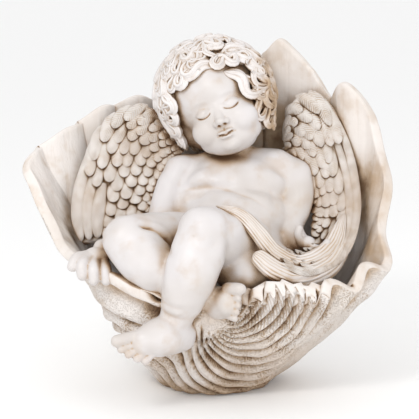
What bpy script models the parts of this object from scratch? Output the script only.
"""A winged child asleep in an open shell, cast in one piece in stone-white resin.

The statue faces -Y and stands on the flat underside of the shell, whose middle is
the origin. Lengths are in millimetres until the finished mesh is scaled to metres.
"""

import math

import bmesh
import bpy
import numpy as np
from mathutils import Matrix

METRES_PER_MM = 0.001

# The shell, a deep fluted bowl that narrows to the underside it stands on
BASE_WIDTH = 80.0
BASE_DEPTH = 82.0
BASE_BELOW = 6.0
WALL_THICKNESS = 9.0
LIP_ROUNDING = 0.12
BELLY_DROP = 0.75
FLOOR_MIDDLE = (6.0, 0.0, 52.0)
FLOOR_SHARE = 0.15
FLOOR_CLIMB = 0.45
FLUTE_DEPTH = 6.0
FLUTE_ROUNDNESS = 0.6
FLUTE_CLIMB = (0.2, 1.0)
FLUTES_FROM_DEGREES = (80.0, 105.0)
RIB_DEPTH = 4.2
RIB_CLIMB = 0.15
RIB_ROUNDNESS = 0.8
RIB_PITCH_DEGREES = 15.0
RIB_SWIRL_DEGREES = 66.0
RIB_SWIRL_FADE_DEGREES = (125.0, 200.0)
RIB_SWIRL_RADIUS = 13.0
RIB_TURN_UP_DEGREES = 32.0
RIB_TURN_UP_REACH = (45.0, 100.0)
RIB_MIDDLE_DEGREES = -85.0
RIB_FADE_LEFT_DEGREES = (80.0, 105.0)
RIB_FADE_RIGHT_DEGREES = (58.0, 84.0)
RIB_START = (14.0, 30.0)
RIB_FADE = 24.0
# How far the ribs reach, in degrees below the beak's level and mm from the beak
RIB_REACH = [(-30, 130), (-8, 95), (10, 72), (28, 58), (50, 62), (75, 90)]
RIB_LIP_CLIMB = (0.7, 0.88)
LIP_WAVE = 2.4
LIP_WAVE_CLIMB = (0.75, 1.0)

# The sleeping child
HEAD_CENTRE = (8.0, 29.5, 241.0)
HEAD_HEIGHT = 92.0
HEAD_ROLL_DEGREES = -22.0
HEAD_PITCH_DEGREES = -12.0
HEAD_YAW_DEGREES = -8.0
LOCK_RADIUS = 7.2
LOCK_FLATNESS = 0.75
LOCK_LIFTS = (-1.0, 5.0)
LOCK_LENGTH = 42.0
LOCK_STEPS = 10
LOCK_ROWS = 8
LOCK_ROW_STEP = 16.5
LOCK_SPACING = 18.0
LOCK_LEAN_DEGREES = 70.0
LOCK_LEAN_DOWN = (105.0, 50.0)
LOCK_LEAN_AWAY = (150.0, 10.0)
LOCK_WAVE_DEGREES = 58.0
LOCK_CURL_DEGREES = 130.0
HAIR_PART_DEGREES = 36.0

# The wings
WING_THICKNESS = 8.0
WING_STEPS = 40
FEATHER_THICKNESS = 5.0
FEATHER_WIDTHS = (4.2, 8.0)
FEATHER_LIFT = 7.5
FEATHER_OVERLAP = 1.45
FEATHER_SLANT = 1.5
FEATHER_FILL = 0.62
LONG_FEATHER_WIDTH = 6.5
LONG_FEATHER_LIFT = 0.8
FOLDED_FLATNESS = 0.5
FOLDED_FACING = (0.2, -1.0, 0.5)

# How finely the forms are joined and reduced to flat faces
JOIN_VOXEL = 1.5
SOFTEN_STEPS = 2
FACE_COUNT = 9800
FINE_PLACES_KEPT = 0.015
SHARP_DEGREES = 40.0

STONE_COLOUR = (0.80, 0.76, 0.70, 1.0)
STONE_ROUGHNESS = 0.62

# The rim of the shell, anticlockwise from the beak at the front: x, y, z, how far the wall
# below it bellies out beyond a straight line down to the base, and 1 where a flute of the
# wall crests or -1 where two flutes meet in a crease
RIM = [
    (0, -88, 85, 6, 0), (26, -90, 90, 6, 0), (52, -92, 102, 6, 0), (81, -88, 97, 6, 0),
    (109, -78, 99, 7, 0), (135, -58, 108, 8, 0), (152, -32, 112, 9, 0.5),
    (150, -10, 136, 14, -1), (157, 4, 174, 24, 1), (151, 18, 203, 32, 0.2),
    (144, 32, 234, 36, 0.2), (124, 45, 259, 38, 1), (108, 57, 240, 34, -1),
    (97, 64, 262, 34, -0.2), (91, 67, 272, 34, 0.5), (79, 71, 285, 33, 0.8),
    (66, 76, 296, 33, 1), (55, 80, 286, 31, 0.4), (49, 84, 262, 30, -1),
    (20, 95, 270, 30, 1), (0, 98, 252, 29, -1), (-24, 99, 256, 28, 1), (-51, 97, 236, 26, -1),
    (-73, 92, 243, 24, 1), (-91, 88, 232, 22, -1), (-106, 82, 234, 20, 1),
    (-121, 74, 219, 16, -1), (-140, 62, 214, 12, 1), (-155, 48, 199, 8, -1),
    (-170, 30, 192, 5, 1), (-168, 12, 177, 3, 0.3), (-150, -8, 150, 2, 0),
    (-129, -34, 129, 3, 0.5), (-106, -57, 112, 4, 0), (-76, -74, 102, 6, 0.5),
    (-38, -84, 92, 7, 0),
]
BEAK = (0.0, 74.0)

# Turns of the rings that round off the ends of a tube
END_TURNS = np.radians([72, 48, 24])

# The body, as x, y, z and radius along each limb
TORSO = {
    "girdle": [(-25, 30, 181, 15), (22, 31, 184, 18), (52, 30, 185, 17), (71, 28, 178, 16)],
    "neck": [(18, 36, 182, 19), (15, 34, 208, 17)],
}
TORSO_MASSES = [
    ((20, 27, 168), (52, 34, 32)), ((20, 6, 144), (48, 38, 30)), ((20, 8, 118), (46, 38, 34)),
    ((0, 8, 172), (23, 11, 17)), ((40, 8, 171), (23, 11, 17)), ((-18, 16, 150), (24, 22, 26)),
    ((36, -30, 108), (36, 38, 25)), ((27, -50, 110), (27, 27, 23)),
]
LIMBS = {
    "right_upper_arm": [(-28, 28, 182, 15), (-38, 15, 165, 13.5), (-46, -5, 142, 12)],
    "right_forearm": [(-46, -5, 142, 12), (-71, -24, 130, 11), (-93, -42, 126, 8.5)],
    "left_upper_arm": [(74, 26, 178, 15), (74, 12, 159, 14.5), (65, 0, 136, 13)],
    "left_forearm": [(65, 0, 136, 13), (72, -12, 129, 10), (77, -18, 126, 8)],
    "right_thigh": [(-4, 2, 116, 30), (-38, -30, 128, 27.5), (-70, -62, 137, 22)],
    "right_shin": [(-70, -64, 136, 21), (-52, -70, 118, 22), (-30, -70, 103, 17),
                   (-10, -70, 91, 12)],
    "left_thigh": [(40, 4, 110, 32), (19, -35, 127, 29), (-8, -76, 147, 22)],
    "left_shin": [(-8, -78, 147, 21.5), (-15, -92, 124, 22.5), (-23, -92, 100, 19.5),
                  (-29, -88, 82, 14.5)],
    "right_foot": [(-6, -68, 86, 12), (5, -82, 89, 14), (12, -92, 92, 12)],
    "left_foot": [(-27, -82, 62, 14), (-42, -96, 64, 16.5), (-57, -105, 62, 12)],
}
PALMS = [((-98, -51, 121), (13, 9, 8)), ((81, -20, 126), (8, 7, 7))]
# Fingers and toes, each as x, y, z and radius from root to tip
DIGITS = [
    [(-106, -54, 123, 4.3), (-114, -61, 122, 4.2), (-117, -66, 115, 3.9)],
    [(-103, -56, 121, 4.4), (-108, -68, 118, 4.3), (-107, -72, 106, 4.0)],
    [(-98, -58, 119, 4.4), (-100, -70, 115, 4.3), (-99, -73, 102, 4.0)],
    [(-92, -56, 118, 4.4), (-91, -68, 113, 4.3), (-89.5, -72, 102, 4.0)],
    [(75, -24, 127, 3.6), (72, -27, 135, 3.5), (73, -27, 141, 3.3)],
    [(84, -24, 124, 3.4), (92, -28, 124, 3.2), (97, -29, 129, 3.0)],
    [(84, -25, 117, 3.4), (92, -30, 117, 3.2), (98, -31, 121, 3.0)],
    [(12, -93, 103, 5.2), (22, -102, 105, 5.0)],
    [(12, -94, 96, 3.2), (20.5, -102, 97.5, 3.2)],
    [(12, -94, 91, 3.1), (20, -101.5, 91.5, 3.1)],
    [(12, -94, 86, 3.0), (19, -100.5, 85.8, 3.0)],
    [(11, -93, 81, 2.9), (17.5, -99, 80.2, 2.9)],
    [(-64, -107, 67, 5.3), (-77.5, -114, 65, 5.1)],
    [(-62, -108, 62, 3.6), (-74, -114, 58.5, 3.5)],
    [(-58, -108, 59, 3.5), (-68, -113.5, 54, 3.4)],
    [(-53, -107, 57, 3.4), (-61.5, -112.5, 50, 3.3)],
    [(-48, -105, 55, 3.4), (-55, -110, 47.5, 3.2)],
]

# Places with small forms, which keep more faces than the rest: middle and radius
FINE_PLACES = [
    ((6, -8, 233), 28), ((-103, -64, 113), 15), ((84, -25, 127), 16),
    ((20, -100, 93), 16), ((-66, -111, 58), 16),
]
FINE_PLACE_EDGE = (0.7, 1.3)
FINE_PLACE_WEIGHT = 0.05

# The head, in its own frame: x to the child's left, y back, z up, all as shares of a
# head 103 mm from chin to crown
HEAD_DESIGN_HEIGHT = 103.0
HEAD_MASSES = [
    ((-3, 5, 9), (38, 43, 39)), ((-1, -12, 14), (33.5, 30, 26)), ((0, -11, -15), (34.5, 31, 30)),
    ((-16.5, -23, -21), (16, 14.5, 16)), ((16.5, -23, -21), (16, 14.5, 16)),
    ((0, -17, -37), (26, 21, 14)), ((0, -32, -42), (9, 7.5, 6.5)), ((0, -10, -42), (22, 20, 9)),
    ((-14.5, -31, -6), (8.6, 7.4, 7)), ((14.5, -31, -6), (8.6, 7.4, 7)),
    ((0, -44.5, -19.5), (4.6, 4.2, 4.0)), ((-4.8, -41, -20.8), (3.2, 4.0, 3.0)),
    ((4.8, -41, -20.8), (3.2, 4.0, 3.0)), ((0, -33.5, -32), (11, 8, 8.5)),
    ((0, -39.6, -30.4), (6, 2.6, 2.0)), ((0, -39, -34.6), (5.2, 2.8, 2.3)),
    ((-17, -15, -31), (14, 16, 13)), ((17, -15, -31), (14, 16, 13)),
]
NOSE_BRIDGE = [(0, -35.5, 0, 3.6), (0, -38.8, -9, 3.7), (0, -43, -17, 4.2)]
# The hair's volume under the locks: the dome, the nape, and the curls beside the cheeks
HAIR_MASSES = [
    ((-6, 5, 20), (47, 46, 47)), ((-5, 16, -10), (45, 32, 36)), ((36, 10, -6), (12, 18, 21)),
    ((-43, 8, -4), (11, 18, 22)),
]
# The locks lie on a dome over a straight wall, with a swell beside each cheek: azimuth, how
# far down from the crown, how far out, and how far it spreads in degrees and in mm
SCALP_CENTRE = (-6.0, 5.0, 20.0)
SCALP_RADIUS = 46.0
SCALP_TAPER = 0.0035
HAIR_SWELLS = [(95, 92, 12, 48, 36), (-95, 84, 7, 45, 36)]
# Azimuth from the face toward the child's left, and how far down from the crown the hair gets
HAIR_REACH = [(-180, 128), (-64, 126), (-54, 108), (-45, 84), (-37, 66), (-5, 68), (21, 68),
              (30, 56), (38, 48), (43, 60), (50, 76), (56, 98), (64, 120), (76, 132), (180, 128)]

# Wings, each between an outer and an inner line from the shoulder to the tips
LEFT_WING = {
    "outer": [(63, 44, 208), (71, 44, 242), (93, 42, 247), (113, 36, 218), (123, 24, 184),
              (125, 4, 147), (111, -30, 117), (79, -62, 107), (53, -74, 116)],
    "inner": [(66, 40, 197), (77, 34, 187), (85, 26, 176), (90, 18, 160), (92, 8, 148),
              (90, -2, 136), (86, -20, 124), (72, -44, 122), (56, -58, 126)],
    "rows": 5,
    "feathers_in_a_row": 10,
    "long_rows": 1,
    "long_start": 0.28,
}
RIGHT_WING = {
    "outer": [(-28, 44, 217), (-56, 50, 236), (-85, 50, 231), (-105, 42, 208),
              (-116, 28, 174), (-119, 12, 145), (-114, 0, 123)],
    "inner": [(-29, 36, 200), (-36, 34, 192), (-42, 32, 184), (-47, 26, 172),
              (-51, 18, 160), (-56, 8, 147), (-63, -4, 133)],
    "rows": 6,
    "feathers_in_a_row": 8,
    "long_rows": 2,
    "long_start": 0.56,
}
# Long feathers of the left wing, which fold round the hip and lie over the thighs
FOLDED_FEATHERS = [
    [(115, 0, 148, 6), (100, -30, 124, 8), (73, -55, 116, 8), (51, -68, 128, 7.5),
     (37, -66, 145, 7), (22, -60, 159, 6), (2, -64, 167, 3)],
    [(118, -10, 132, 6), (98, -44, 112, 9), (72, -66, 107, 9.5), (53, -76, 114, 9),
     (38, -80, 126, 8), (33, -80, 130, 6)],
]


def smooth_between(low, high, value):
    """0 below low, 1 above high and an even S between."""
    share = np.clip((np.asarray(value, float) - low) / (high - low), 0, 1)
    return share * share * (3 - 2 * share)


def curve_through(points, count):
    """Catmull-Rom curve through rows of numbers, read at count even steps."""
    points = np.array(points, float)
    ends = (2 * points[0] - points[1], 2 * points[-1] - points[-2])
    padded = np.vstack([ends[0], points, ends[1]])
    place = np.linspace(0, len(points) - 1, count)
    first = np.minimum(place.astype(int), len(points) - 2)
    f = (place - first)[:, None]
    a, b, c, d = (padded[first + k] for k in range(4))
    return 0.5 * (2 * b + (c - a) * f + (2 * a - 5 * b + 4 * c - d) * f**2
                  + (3 * b - a - 3 * c + d) * f**3)


def unit(vectors):
    return vectors / np.maximum(np.linalg.norm(vectors, axis=-1, keepdims=True), 1e-9)


def grid_faces(rings, sides):
    """Quads of a closed-round grid, and a fan to the pole vertex at each end."""
    ring, side = np.meshgrid(np.arange(rings - 1), np.arange(sides), indexing="ij")
    here, after = ring * sides + side, ring * sides + (side + 1) % sides
    quads = np.stack([here, after, after + sides, here + sides], -1).reshape(-1, 4)
    first_pole, last_pole, last = rings * sides, rings * sides + 1, (rings - 1) * sides
    fans = [(first_pole, (k + 1) % sides, k) for k in range(sides)]
    fans += [(last_pole, last + k, last + (k + 1) % sides) for k in range(sides)]
    return [tuple(q) for q in quads.tolist()] + fans


def tube(stations, rings=10, sides=12, flat=1.0, facing=None, cap=1.0):
    """A round-ended tube through x, y, z, radius stations, thinned by flat along facing."""
    line = curve_through(stations, rings)
    middles, radii = line[:, :3], np.maximum(line[:, 3], 0.2)
    along = unit(np.gradient(middles, axis=0))
    if facing is None:
        facing = np.eye(3)[int(np.argmin(np.abs(middles[-1] - middles[0])))]
    facing = np.broadcast_to(np.asarray(facing, float), along.shape)
    back = np.sin(END_TURNS)[:, None] * cap
    shrink = np.cos(END_TURNS)
    middles = np.vstack([middles[0] - along[0] * radii[0] * back, middles,
                         (middles[-1] + along[-1] * radii[-1] * back)[::-1]])
    radii = np.concatenate([radii[0] * shrink, radii, (radii[-1] * shrink)[::-1]])
    along = np.vstack([[along[0]] * len(shrink), along, [along[-1]] * len(shrink)])
    facing = np.vstack([[facing[0]] * len(shrink), facing, [facing[-1]] * len(shrink)])
    normal = unit(facing - (facing * along).sum(1, keepdims=True) * along)
    side = np.cross(along, normal)
    turn = np.linspace(0, 2 * math.pi, sides, endpoint=False)
    ring = (side[:, None] * np.cos(turn)[None, :, None]
            + normal[:, None] * np.sin(turn)[None, :, None] * flat)
    points = middles[:, None] + ring * radii[:, None, None]
    poles = [middles[0] - along[0] * radii[0] * 0.3, middles[-1] + along[-1] * radii[-1] * 0.3]
    return np.vstack([points.reshape(-1, 3), poles]), grid_faces(len(points), sides)


def ellipsoid(centre, radii, rings=12, sides=18):
    lift = np.linspace(-math.pi / 2, math.pi / 2, rings + 2)[1:-1]
    turn = np.linspace(0, 2 * math.pi, sides, endpoint=False)
    points = np.stack([np.cos(lift)[:, None] * np.cos(turn)[None],
                       np.cos(lift)[:, None] * np.sin(turn)[None],
                       np.repeat(np.sin(lift)[:, None], sides, 1)], -1).reshape(-1, 3)
    points = np.vstack([points, [(0, 0, -1), (0, 0, 1)]])
    return points * np.array(radii) + np.array(centre), grid_faces(rings, sides)


def joined(shapes):
    """Several meshes as one list of points and one of faces."""
    points, faces, start = [], [], 0
    for shape_points, shape_faces in shapes:
        points.append(shape_points)
        faces += [tuple(k + start for k in face) for face in shape_faces]
        start += len(shape_points)
    return np.vstack(points), faces


def rim_stations(count):
    """The rim at count even steps, closed round."""
    closed = RIM[-2:] + RIM + RIM[:3]
    steps_between = 40
    stations = curve_through(closed, (len(closed) - 1) * steps_between + 1)
    place = (np.linspace(0, len(RIM), count, endpoint=False) + 2) * steps_between
    low = place.astype(int)
    f = (place - low)[:, None]
    return stations[low] * (1 - f) + stations[low + 1] * f


def rib_wave(x, z):
    """1 on the crest and -1 in the groove of the ribs that fan out from the beak."""
    dx, dz = x - BEAK[0], z - BEAK[1]
    reach = np.hypot(dx, dz)
    turn = np.degrees(np.arctan2(-dz, dx)) % 360
    turn = np.where(turn > 270, turn - 360, turn)
    swirl = RIB_SWIRL_DEGREES * (1 - smooth_between(*RIB_SWIRL_FADE_DEGREES, turn))
    bend = RIB_TURN_UP_DEGREES * smooth_between(*RIB_TURN_UP_REACH, reach)
    bend = bend * (1 - smooth_between(*RIB_SWIRL_FADE_DEGREES, turn))
    phase = (turn + swirl * np.log1p(reach / RIB_SWIRL_RADIUS) + bend) / RIB_PITCH_DEGREES
    wave = 2 * np.abs(np.sin(math.pi * phase)) ** RIB_ROUNDNESS - 1
    fade = 1 - smooth_between(0, RIB_FADE, reach - np.interp(turn, *zip(*RIB_REACH)))
    return wave * smooth_between(*RIB_START, reach), fade


def carved_wall(around, up):
    """The outside of the shell, in rings from the base up: ribbed at the front and fluted
    at the back."""
    rim = rim_stations(around)
    heading = np.arctan2(rim[:, 1], rim[:, 0])
    base = np.stack([BASE_WIDTH / 2 * np.cos(heading), BASE_DEPTH / 2 * np.sin(heading),
                     np.full(around, -BASE_BELOW)], -1)
    outward = unit(np.stack([np.cos(heading), np.sin(heading),
                             np.full(around, -BELLY_DROP)], -1))
    climb = np.linspace(0, 1, up)[:, None]
    rise = climb[..., None]
    wall = base * (1 - rise) + rim[:, :3] * rise
    wall += outward * rim[:, 3:4] * 4 * rise * (1 - rise)
    turned = (np.degrees(heading) - RIB_MIDDLE_DEGREES + 180) % 360 - 180
    ribbed = 1 - np.where(turned > 0, smooth_between(*RIB_FADE_RIGHT_DEGREES, turned),
                          smooth_between(*RIB_FADE_LEFT_DEGREES, -turned))
    crest = np.clip((rim[:, 4] + 1) / 2, 0, 1) ** FLUTE_ROUNDNESS
    fluted = smooth_between(*FLUTES_FROM_DEGREES, np.abs(turned))
    flutes = fluted * (1 - 2 * crest) * smooth_between(*FLUTE_CLIMB, climb)
    wave, fade = rib_wave(wall[..., 0], wall[..., 2])
    fade = np.maximum(fade, smooth_between(*RIB_LIP_CLIMB, climb))
    ribs = ribbed * wave * fade * smooth_between(0.0, RIB_CLIMB, climb)
    wall += outward * (RIB_DEPTH * ribs)[..., None]
    wall[..., :2] += outward[..., :2] * (FLUTE_DEPTH * flutes)[..., None]
    wall[..., 2] -= LIP_WAVE * ribs * smooth_between(*LIP_WAVE_CLIMB, climb)
    return wall


def shell(around=204, up=34):
    """The bowl: its outside, its lip and its hollow down to the floor, as one closed skin."""
    outside = carved_wall(around, up)
    upward = np.gradient(outside, axis=0)
    round_way = np.roll(outside, -1, 1) - np.roll(outside, 1, 1)
    normal = unit(np.cross(round_way, upward))
    floor = np.array(FLOOR_MIDDLE)
    inside = outside - normal * WALL_THICKNESS
    inside[..., 2] = np.maximum(inside[..., 2], floor[2])
    climb = np.linspace(0, 1, up)
    reach = FLOOR_SHARE + (1 - FLOOR_SHARE) * smooth_between(0.0, FLOOR_CLIMB, climb)
    inside = floor + (inside - floor) * reach[:, None, None]
    lip = outside[-1:] - normal[-1:] * WALL_THICKNESS / 2 + upward[-1:] * LIP_ROUNDING
    rings = np.concatenate([outside, lip, inside[::-1]])
    poles = [(0, 0, -BASE_BELOW), floor]
    return np.vstack([rings.reshape(-1, 3), poles]), grid_faces(len(rings), around)


def body():
    shapes = [ellipsoid(centre, radii) for centre, radii in TORSO_MASSES + PALMS]
    shapes += [tube(line) for line in list(TORSO.values()) + list(LIMBS.values())]
    shapes += [tube(line, rings=6, sides=9) for line in DIGITS]
    return shapes


def head_frame():
    turn = (Matrix.Rotation(math.radians(HEAD_ROLL_DEGREES), 3, "Y")
            @ Matrix.Rotation(math.radians(HEAD_PITCH_DEGREES), 3, "X")
            @ Matrix.Rotation(math.radians(HEAD_YAW_DEGREES), 3, "Z"))
    return np.array(turn) * HEAD_HEIGHT / HEAD_DESIGN_HEIGHT, np.array(HEAD_CENTRE)


def on_scalp(azimuth, down, lift):
    """Point over the scalp and the way out there. Azimuth 0 is over the face and grows to
    the child's left. down is measured over the scalp from its crown."""
    quarter = SCALP_RADIUS * math.pi / 2
    a, h = math.radians(azimuth), min(down, quarter) / SCALP_RADIUS
    ray = np.array([math.sin(a) * math.sin(h), -math.cos(a) * math.sin(h), math.cos(h)])
    below = max(0.0, down - quarter)
    for middle, low, out, wide, tall in HAIR_SWELLS:
        turned = (azimuth - middle + 180) % 360 - 180
        lift += out * math.exp(-(turned / wide) ** 2 - ((down - low) / tall) ** 2)
    spot = ray * (SCALP_RADIUS * (1 - SCALP_TAPER * below) + lift)
    return np.array(SCALP_CENTRE) + spot - np.array([0, 0, below])


def round_radius(down):
    """Radius of the scalp round its axis, at a distance down from its crown."""
    return SCALP_RADIUS * max(0.2, math.sin(min(math.pi / 2, down / SCALP_RADIUS)))


def lock_path(azimuth, down, hand):
    """A lock from its root to its curled tip, which gets no lower than down."""
    away = (azimuth - HAIR_PART_DEGREES + 180) % 360 - 180
    lean = LOCK_LEAN_DEGREES * float(smooth_between(*LOCK_LEAN_DOWN, down)
                                     * smooth_between(*LOCK_LEAN_AWAY, abs(away)))
    step = min(LOCK_LENGTH, down + LOCK_RADIUS) / LOCK_STEPS
    share = np.linspace(0, 1, LOCK_STEPS + 1)
    way = np.radians(90 + math.copysign(lean, away) + hand * (
        LOCK_WAVE_DEGREES * np.sin(2 * math.pi * share) + LOCK_CURL_DEGREES * (1 - share) ** 2))
    aside, rise = np.cumsum(step * np.cos(way)), np.cumsum(step * np.sin(way))
    lowest = int(rise.argmin())
    lift = LOCK_LIFTS[0] + (LOCK_LIFTS[1] - LOCK_LIFTS[0]) * np.cos(math.pi / 2 * share)
    path = []
    for k in range(LOCK_STEPS, -1, -1):
        low = max(1.0, down - (rise[k] - rise[lowest]))
        turn = azimuth + math.degrees((aside[k] - aside[lowest]) / round_radius((low + down) / 2))
        radius = LOCK_RADIUS * (0.4 + 0.6 * math.sin(math.pi * (0.15 + 0.75 * share[k])))
        path.append((*on_scalp(turn, low, lift[k]), radius))
    return path


def hair():
    shapes = []
    for row in range(LOCK_ROWS):
        down = LOCK_ROW_STEP * (row + 1)
        count = max(5, round(2 * math.pi * round_radius(down) / LOCK_SPACING))
        for k in range(count):
            azimuth = (360 * (k + 0.5 * (row % 2)) / count + 180) % 360 - 180
            reach = np.interp(azimuth, *zip(*HAIR_REACH))
            if down - reach < LOCK_ROW_STEP / 2:
                path = lock_path(azimuth, min(down, reach), 1 if (k + row) % 2 else -1)
                shapes.append(tube(path, rings=12, sides=8, flat=LOCK_FLATNESS))
    return shapes


def head():
    turn, centre = head_frame()
    shapes = [ellipsoid(c, r) for c, r in HEAD_MASSES + HAIR_MASSES]
    shapes.append(tube(NOSE_BRIDGE, rings=5, sides=8))
    shapes += hair()
    return [(points @ turn.T + centre, faces) for points, faces in shapes]


def feather(line, width, facing, rings=7, sides=8):
    """A round-tipped blade along a line of points, widest past its middle."""
    share = np.linspace(0, 1, len(line))
    radius = width * np.minimum(1, 0.5 + 1.5 * share) * np.sqrt(1 - 0.9 * share**6)
    if np.ndim(facing) > 1:
        facing = unit(curve_through(facing, rings))
    return tube(np.column_stack([line, radius]), rings=rings, sides=sides, cap=0.5,
                flat=FEATHER_THICKNESS / (2 * width), facing=facing)


def wing_surface(plan, u, v):
    """Points on a wing and the way it faces. u runs from shoulder to tip, v from the outer
    edge to the inner one."""
    lines = [curve_through(plan[edge], WING_STEPS + 1) for edge in ("outer", "inner")]

    def at(u, v):
        place = np.clip(u, 0, 1) * WING_STEPS
        low = np.minimum(place.astype(int), WING_STEPS - 1)
        f = (place - low)[..., None]
        outer, inner = (line[low] * (1 - f) + line[low + 1] * f for line in lines)
        return outer * (1 - v[..., None]) + inner * v[..., None]

    e = 0.5 / WING_STEPS
    u, v = np.broadcast_arrays(np.asarray(u, float), np.asarray(v, float))
    lengthwise = at(np.minimum(u + e, 1), v) - at(np.maximum(u - e, 0), v)
    normal = unit(np.cross(lengthwise, at(u, v + e) - at(u, v - e)))
    toward_front = normal @ np.array([0.0, -1.0, 0.25])
    return at(u, v), normal * np.where(toward_front < 0, -1, 1)[..., None]


def closed_sheet(front, back):
    """A thick sheet between two grids of points."""
    rings = np.concatenate([front, back[:, ::-1]], axis=1)
    poles = [rings[0].mean(0), rings[-1].mean(0)]
    return np.vstack([rings.reshape(-1, 3), poles]), grid_faces(len(rings), rings.shape[1])


def short_feather(plan, row, k):
    """One of the overlapping feathers, which lifts toward its tip."""
    rows, count = plan["rows"], plan["feathers_in_a_row"]
    start = (k - 0.5 * (row % 2)) / count
    share = np.linspace(0, 1, 5)
    u = np.clip(start + FEATHER_OVERLAP / count * share, 0, 1)
    slant = FEATHER_SLANT * (1 - np.clip(start, 0, 1)) * share
    v = np.clip(row / (rows - 1) + slant / rows, 0, 1)
    place, normal = wing_surface(plan, u, v)
    edges = wing_surface(plan, u[2], np.array([0.0, 1.0]))[0]
    width = FEATHER_FILL * np.linalg.norm(edges[0] - edges[1]) / (rows - 1)
    width = float(np.clip(width, *FEATHER_WIDTHS))
    lift = (FEATHER_LIFT * share - FEATHER_THICKNESS / 2)[:, None] * normal
    return feather(place + lift, width, normal[2])


def long_feather(plan, row):
    """One of the long feathers, which runs along the wing's outer edge to its tip."""
    share = np.linspace(0, 1, 12)
    start = plan["long_start"]
    place, normal = wing_surface(plan, start + (1 - start) * share, row / (plan["rows"] - 1))
    lift = (FEATHER_LIFT * LONG_FEATHER_LIFT - FEATHER_THICKNESS / 2) * normal
    return feather(place + lift, LONG_FEATHER_WIDTH, normal, rings=14)


def wing(plan):
    """A thick sheet under rows of overlapping feathers that point from shoulder to tips,
    with long ones at the outer edge."""
    u, v = np.meshgrid(np.linspace(0, 1, 25), np.linspace(0, 1, 9), indexing="ij")
    place, normal = wing_surface(plan, u, v)
    shapes = [closed_sheet(place, place - normal * WING_THICKNESS)]
    for row in range(plan["rows"]):
        for k in range(plan["feathers_in_a_row"]):
            if row < plan["long_rows"] and k / plan["feathers_in_a_row"] > plan["long_start"]:
                continue
            shapes.append(short_feather(plan, row, k))
    return shapes + [long_feather(plan, row) for row in range(plan["long_rows"])]


def folded_feathers():
    return [tube(line, rings=16, sides=10, flat=FOLDED_FLATNESS, facing=FOLDED_FACING)
            for line in FOLDED_FEATHERS]


def mesh_object(name, points, faces):
    mesh = bpy.data.meshes.new(name)
    mesh.from_pydata(np.asarray(points).tolist(), [], faces)
    mesh.update()
    made = bpy.data.objects.new(name, mesh)
    bpy.context.scene.collection.objects.link(made)
    return made


def with_modifiers_applied(made):
    graph = bpy.context.evaluated_depsgraph_get()
    mesh = bpy.data.meshes.new_from_object(made.evaluated_get(graph))
    made.modifiers.clear()
    made.data = mesh
    return made


def largest_body_only(made):
    """Drops the skins of air pockets that the joined forms close off inside the cast."""
    work = bmesh.new()
    work.from_mesh(made.data)
    work.verts.ensure_lookup_table()
    left, groups = set(work.verts), []
    while left:
        stack = [left.pop()]
        group = set(stack)
        while stack:
            for edge in stack.pop().link_edges:
                for vert in edge.verts:
                    if vert not in group:
                        group.add(vert)
                        stack.append(vert)
        left -= group
        groups.append(group)
    groups.sort(key=len, reverse=True)
    spare = [vert for group in groups[1:] for vert in group]
    bmesh.ops.delete(work, geom=spare, context="VERTS")
    work.to_mesh(made.data)
    work.free()


def mark_fine_places(made):
    """Weights that let plain stretches be reduced first, and the face, hands and feet last."""
    points = np.array([vert.co for vert in made.data.vertices])
    plain = np.ones(len(points))
    for centre, radius in FINE_PLACES:
        away = np.linalg.norm(points - np.array(centre), axis=1)
        plain = np.minimum(plain, smooth_between(*np.multiply(FINE_PLACE_EDGE, radius), away))
    group = made.vertex_groups.new(name="plain")
    for index, weight in enumerate(np.maximum(plain, FINE_PLACE_WEIGHT).tolist()):
        group.add([index], weight, "REPLACE")


def cut_flat_below(made):
    """Cuts the underside flat at height 0 and closes it."""
    work = bmesh.new()
    work.from_mesh(made.data)
    everything = list(work.verts) + list(work.edges) + list(work.faces)
    cut = bmesh.ops.bisect_plane(work, geom=everything, plane_co=(0, 0, 0),
                                 plane_no=(0, 0, 1), clear_inner=True)
    edges = [part for part in cut["geom_cut"] if isinstance(part, bmesh.types.BMEdge)]
    bmesh.ops.contextual_create(work, geom=edges)
    bmesh.ops.triangulate(work, faces=list(work.faces))
    bmesh.ops.recalc_face_normals(work, faces=list(work.faces))
    work.to_mesh(made.data)
    work.free()


def stone_material():
    stone = bpy.data.materials.new("stone_resin")
    stone.use_nodes = True
    surface = stone.node_tree.nodes["Principled BSDF"]
    surface.inputs["Base Color"].default_value = STONE_COLOUR
    surface.inputs["Roughness"].default_value = STONE_ROUGHNESS
    surface.inputs["Metallic"].default_value = 0.0
    return stone


def statue():
    forms = [shell()] + body() + head() + folded_feathers()
    forms += wing(LEFT_WING) + wing(RIGHT_WING)
    made = mesh_object("statue", *joined(forms))
    join = made.modifiers.new("Join", "REMESH")
    join.mode = "VOXEL"
    join.voxel_size = JOIN_VOXEL
    soften = made.modifiers.new("Soften", "SMOOTH")
    soften.iterations = SOFTEN_STEPS
    with_modifiers_applied(made)
    largest_body_only(made)
    mark_fine_places(made)
    reduce = made.modifiers.new("Reduce", "DECIMATE")
    reduce.ratio = FACE_COUNT / (2 * len(made.data.polygons))
    reduce.vertex_group = "plain"
    reduce.vertex_group_factor = FINE_PLACES_KEPT
    with_modifiers_applied(made)
    cut_flat_below(made)
    made.data.transform(Matrix.Scale(METRES_PER_MM, 4))
    made.data.shade_smooth()
    made.data.set_sharp_from_angle(angle=math.radians(SHARP_DEGREES))
    made.data.materials.append(stone_material())
    return made


def clear_scene():
    for old in list(bpy.data.objects):
        bpy.data.objects.remove(old)


clear_scene()
statue()
